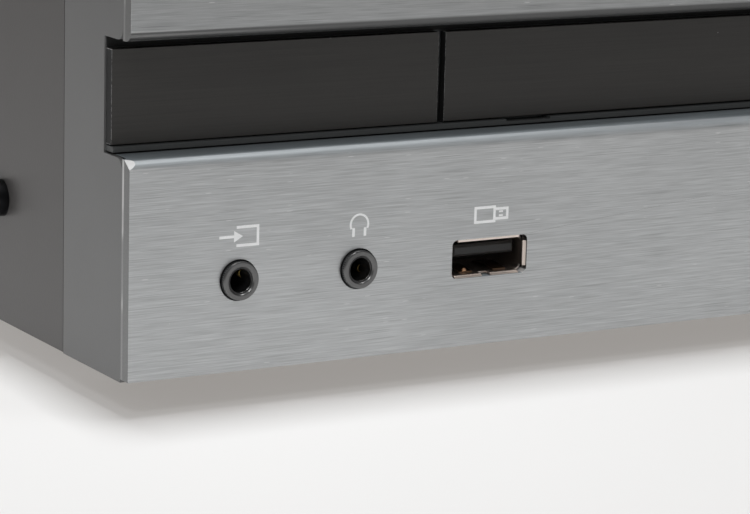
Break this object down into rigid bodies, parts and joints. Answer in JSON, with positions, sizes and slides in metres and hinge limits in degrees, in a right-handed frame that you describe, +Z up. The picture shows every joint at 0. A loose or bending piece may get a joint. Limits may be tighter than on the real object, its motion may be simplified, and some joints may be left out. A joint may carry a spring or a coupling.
{
  "type": "micro hi-fi system",
  "caption": "Compact hi-fi main unit: split brushed metal fascia, dark strip with a sliding disc drawer, front jacks, volume knob, buttons and a vented steel case.",
  "frame": {"origin": "centre of the whole part's footprint, on the plane under the foot pads", "axes": "+X to the right as seen from the front, +Y to the rear, +Z up; the fascia faces -Y"},
  "size_m": [0.208, 0.288, 0.1055],
  "materials": {
    "brushed_plate": "brushed along its length, satin",
    "bezel_paint": "satin grey paint on plastic",
    "cover_paint": "fine-textured dark grey paint",
    "strip_black": "satin black, faintly brushed",
    "frame_black": "plain black moulding",
    "window_smoke": "smoked, polished",
    "display_dark": "dark display glass on a holder",
    "board_green": "solder-masked circuit board",
    "board_tan": "paper circuit board",
    "knob_metal": "turned, satin",
    "key_silver": "silver paint",
    "shaft_steel": "ground",
    "black_plastic": "moulded",
    "jack_plastic": "moulded, satin",
    "socket_steel": "tinned sheet",
    "chassis_zinc": "zinc-plated sheet",
    "foot_plastic": "moulded",
    "pad_rubber": "soft foam rubber",
    "screw_black": "black zinc",
    "sink_metal": "extruded, plain",
    "core_iron": "varnished laminations and tape",
    "can_tin": "tinned can",
    "contact_gold": "gold flash",
    "lever_red": "moulded",
    "lever_black": "moulded",
    "pin_metal": "nickel plated",
    "ribbon_white": "flat cable",
    "loader_grey": "moulded",
    "tray_black": "moulded, fine texture",
    "motor_steel": "drawn can",
    "gear_white": "acetal",
    "belt_rubber": "square belt",
    "deck_grey": "moulded",
    "rod_chrome": "polished",
    "sled_metal": "die cast",
    "bridge_steel": "plated sheet"
  },
  "bodies": {
    "case": {"front_bezel": "bezel_paint", "upper_fascia": "brushed_plate", "lower_fascia": "brushed_plate", "strip_frame": "frame_black", "strip_panel": "strip_black", "display_window": "window_smoke", "display_module": "display_dark", "front_board": "board_green", "encoder_body": "black_plastic", "jack_board": "board_green", "line_in_jack": "jack_plastic", "headphone_jack": "jack_plastic", "usb_shell": "socket_steel", "usb_tongue": "black_plastic", "top_cover": "cover_paint", "chassis": "chassis_zinc", "rear_panel": "cover_paint", "feet": "foot_plastic", "foot_pads": "pad_rubber", "case_screws": "screw_black", "main_board": "board_green", "heat_sink": "sink_metal", "power_board": "board_tan", "transformer": "core_iron", "tuner_module": "can_tin", "rca_block": "black_plastic", "rca_shells": "contact_gold", "speaker_block": "black_plastic", "mains_inlet": "black_plastic", "mains_pins": "pin_metal", "ribbon_cable": "ribbon_white", "loader_frame": "loader_grey", "loading_motor": "motor_steel", "drive_belt": "belt_rubber", "clamp_bridge": "bridge_steel"},
    "tray": {"disc_tray": "tray_black", "tray_door": "strip_black"},
    "drive_gear": {"drive_gear": "gear_white"},
    "loading_pulley": {"loading_pulley": "gear_white"},
    "motor_pulley": {"motor_pulley": "gear_white"},
    "deck": {"optical_deck": "deck_grey", "spindle_motor": "motor_steel", "guide_rods": "rod_chrome", "sled_motor": "motor_steel"},
    "turntable": {"turntable": "deck_grey"},
    "clamp_puck": {"clamp_puck": "deck_grey"},
    "sled": {"pickup_sled": "sled_metal"},
    "sled_gear": {"sled_gear": "gear_white"},
    "knob": {"volume_knob": "knob_metal", "encoder_shaft": "shaft_steel"},
    "power_button": {"power_button": "key_silver"},
    "source_button": {"source_button": "key_silver"},
    "previous_button": {"previous_button": "key_silver"},
    "play_button": {"play_button": "key_silver"},
    "next_button": {"next_button": "key_silver"},
    "eject_button": {"eject_button": "key_silver"},
    "speaker_lever_1": {"speaker_lever_1": "lever_red"},
    "speaker_lever_2": {"speaker_lever_2": "lever_black"},
    "speaker_lever_3": {"speaker_lever_3": "lever_red"},
    "speaker_lever_4": {"speaker_lever_4": "lever_black"}
  },
  "joints": [
    {"name": "tray_slide", "type": "slide", "parent": "case", "child": "tray", "axis": [0, -1, 0], "range_m": [0, 0.124]},
    {"name": "drive_gear_spin", "type": "hinge", "parent": "case", "child": "drive_gear", "pos_m": [-0.0185, -0.1, 0.0367], "axis": [0, 0, 1], "range_deg": [0, 1017]},
    {"name": "loading_pulley_spin", "type": "hinge", "parent": "case", "child": "loading_pulley", "pos_m": [0.0035, -0.1, 0.0328], "axis": [0, 0, 1], "range_deg": [-2176.9, 0]},
    {"name": "motor_pulley_spin", "type": "hinge", "parent": "case", "child": "motor_pulley", "pos_m": [0.0315, -0.1, 0.0328], "axis": [0, 0, 1], "range_deg": [-6889.2, 0]},
    {"name": "deck_tilt", "type": "hinge", "parent": "case", "child": "deck", "pos_m": [0.0278, 0.026, 0.0345], "axis": [1, 0, 0], "range_deg": [0, 4]},
    {"name": "turntable_spin", "type": "hinge", "parent": "deck", "child": "turntable", "pos_m": [0.0278, -0.05, 0.0445], "axis": [0, 0, 1], "continuous": true},
    {"name": "clamp_spin", "type": "hinge", "parent": "case", "child": "clamp_puck", "pos_m": [0.0278, -0.05, 0.0525], "axis": [0, 0, 1], "continuous": true},
    {"name": "sled_slide", "type": "slide", "parent": "deck", "child": "sled", "axis": [0, 1, 0], "range_m": [0, 0.034]},
    {"name": "sled_gear_spin", "type": "hinge", "parent": "deck", "child": "sled_gear", "pos_m": [-0.0052, -0.018, 0.0367], "axis": [0, 0, 1], "range_deg": [0, 245.5]},
    {"name": "knob_turn", "type": "hinge", "parent": "case", "child": "knob", "pos_m": [0.0635, -0.13, 0.08005], "axis": [0, -1, 0], "continuous": true},
    {"name": "power_press", "type": "slide", "parent": "case", "child": "power_button", "axis": [0, 1, 0], "range_m": [0, 0.0006], "stiffness_N_per_m": 400},
    {"name": "source_press", "type": "slide", "parent": "case", "child": "source_button", "axis": [0, 1, 0], "range_m": [0, 0.0006], "stiffness_N_per_m": 400},
    {"name": "previous_press", "type": "slide", "parent": "case", "child": "previous_button", "axis": [0, 1, 0], "range_m": [0, 0.0006], "stiffness_N_per_m": 400},
    {"name": "play_press", "type": "slide", "parent": "case", "child": "play_button", "axis": [0, 1, 0], "range_m": [0, 0.0006], "stiffness_N_per_m": 400},
    {"name": "next_press", "type": "slide", "parent": "case", "child": "next_button", "axis": [0, 1, 0], "range_m": [0, 0.0006], "stiffness_N_per_m": 400},
    {"name": "eject_press", "type": "slide", "parent": "case", "child": "eject_button", "axis": [0, 1, 0], "range_m": [0, 0.0006], "stiffness_N_per_m": 400},
    {"name": "lever_1_press", "type": "hinge", "parent": "case", "child": "speaker_lever_1", "pos_m": [0.0178, 0.1365, 0.03125], "axis": [-1, 0, 0], "range_deg": [0, 20], "stiffness_Nm_per_rad": 0.05},
    {"name": "lever_2_press", "type": "hinge", "parent": "case", "child": "speaker_lever_2", "pos_m": [0.0298, 0.1365, 0.03125], "axis": [-1, 0, 0], "range_deg": [0, 20], "stiffness_Nm_per_rad": 0.05},
    {"name": "lever_3_press", "type": "hinge", "parent": "case", "child": "speaker_lever_3", "pos_m": [0.0418, 0.1365, 0.03125], "axis": [-1, 0, 0], "range_deg": [0, 20], "stiffness_Nm_per_rad": 0.05},
    {"name": "lever_4_press", "type": "hinge", "parent": "case", "child": "speaker_lever_4", "pos_m": [0.0538, 0.1365, 0.03125], "axis": [-1, 0, 0], "range_deg": [0, 20], "stiffness_Nm_per_rad": 0.05}
  ],
  "couplings": [
    {"joint": "drive_gear_spin", "follows": "tray_slide", "rad_per_m": 142.86},
    {"joint": "loading_pulley_spin", "follows": "tray_slide", "rad_per_m": -306.12},
    {"joint": "motor_pulley_spin", "follows": "tray_slide", "rad_per_m": -969.39},
    {"joint": "sled_gear_spin", "follows": "sled_slide", "rad_per_m": 125},
    {"joint": "clamp_spin", "follows": "turntable_spin", "ratio": 1}
  ]
}
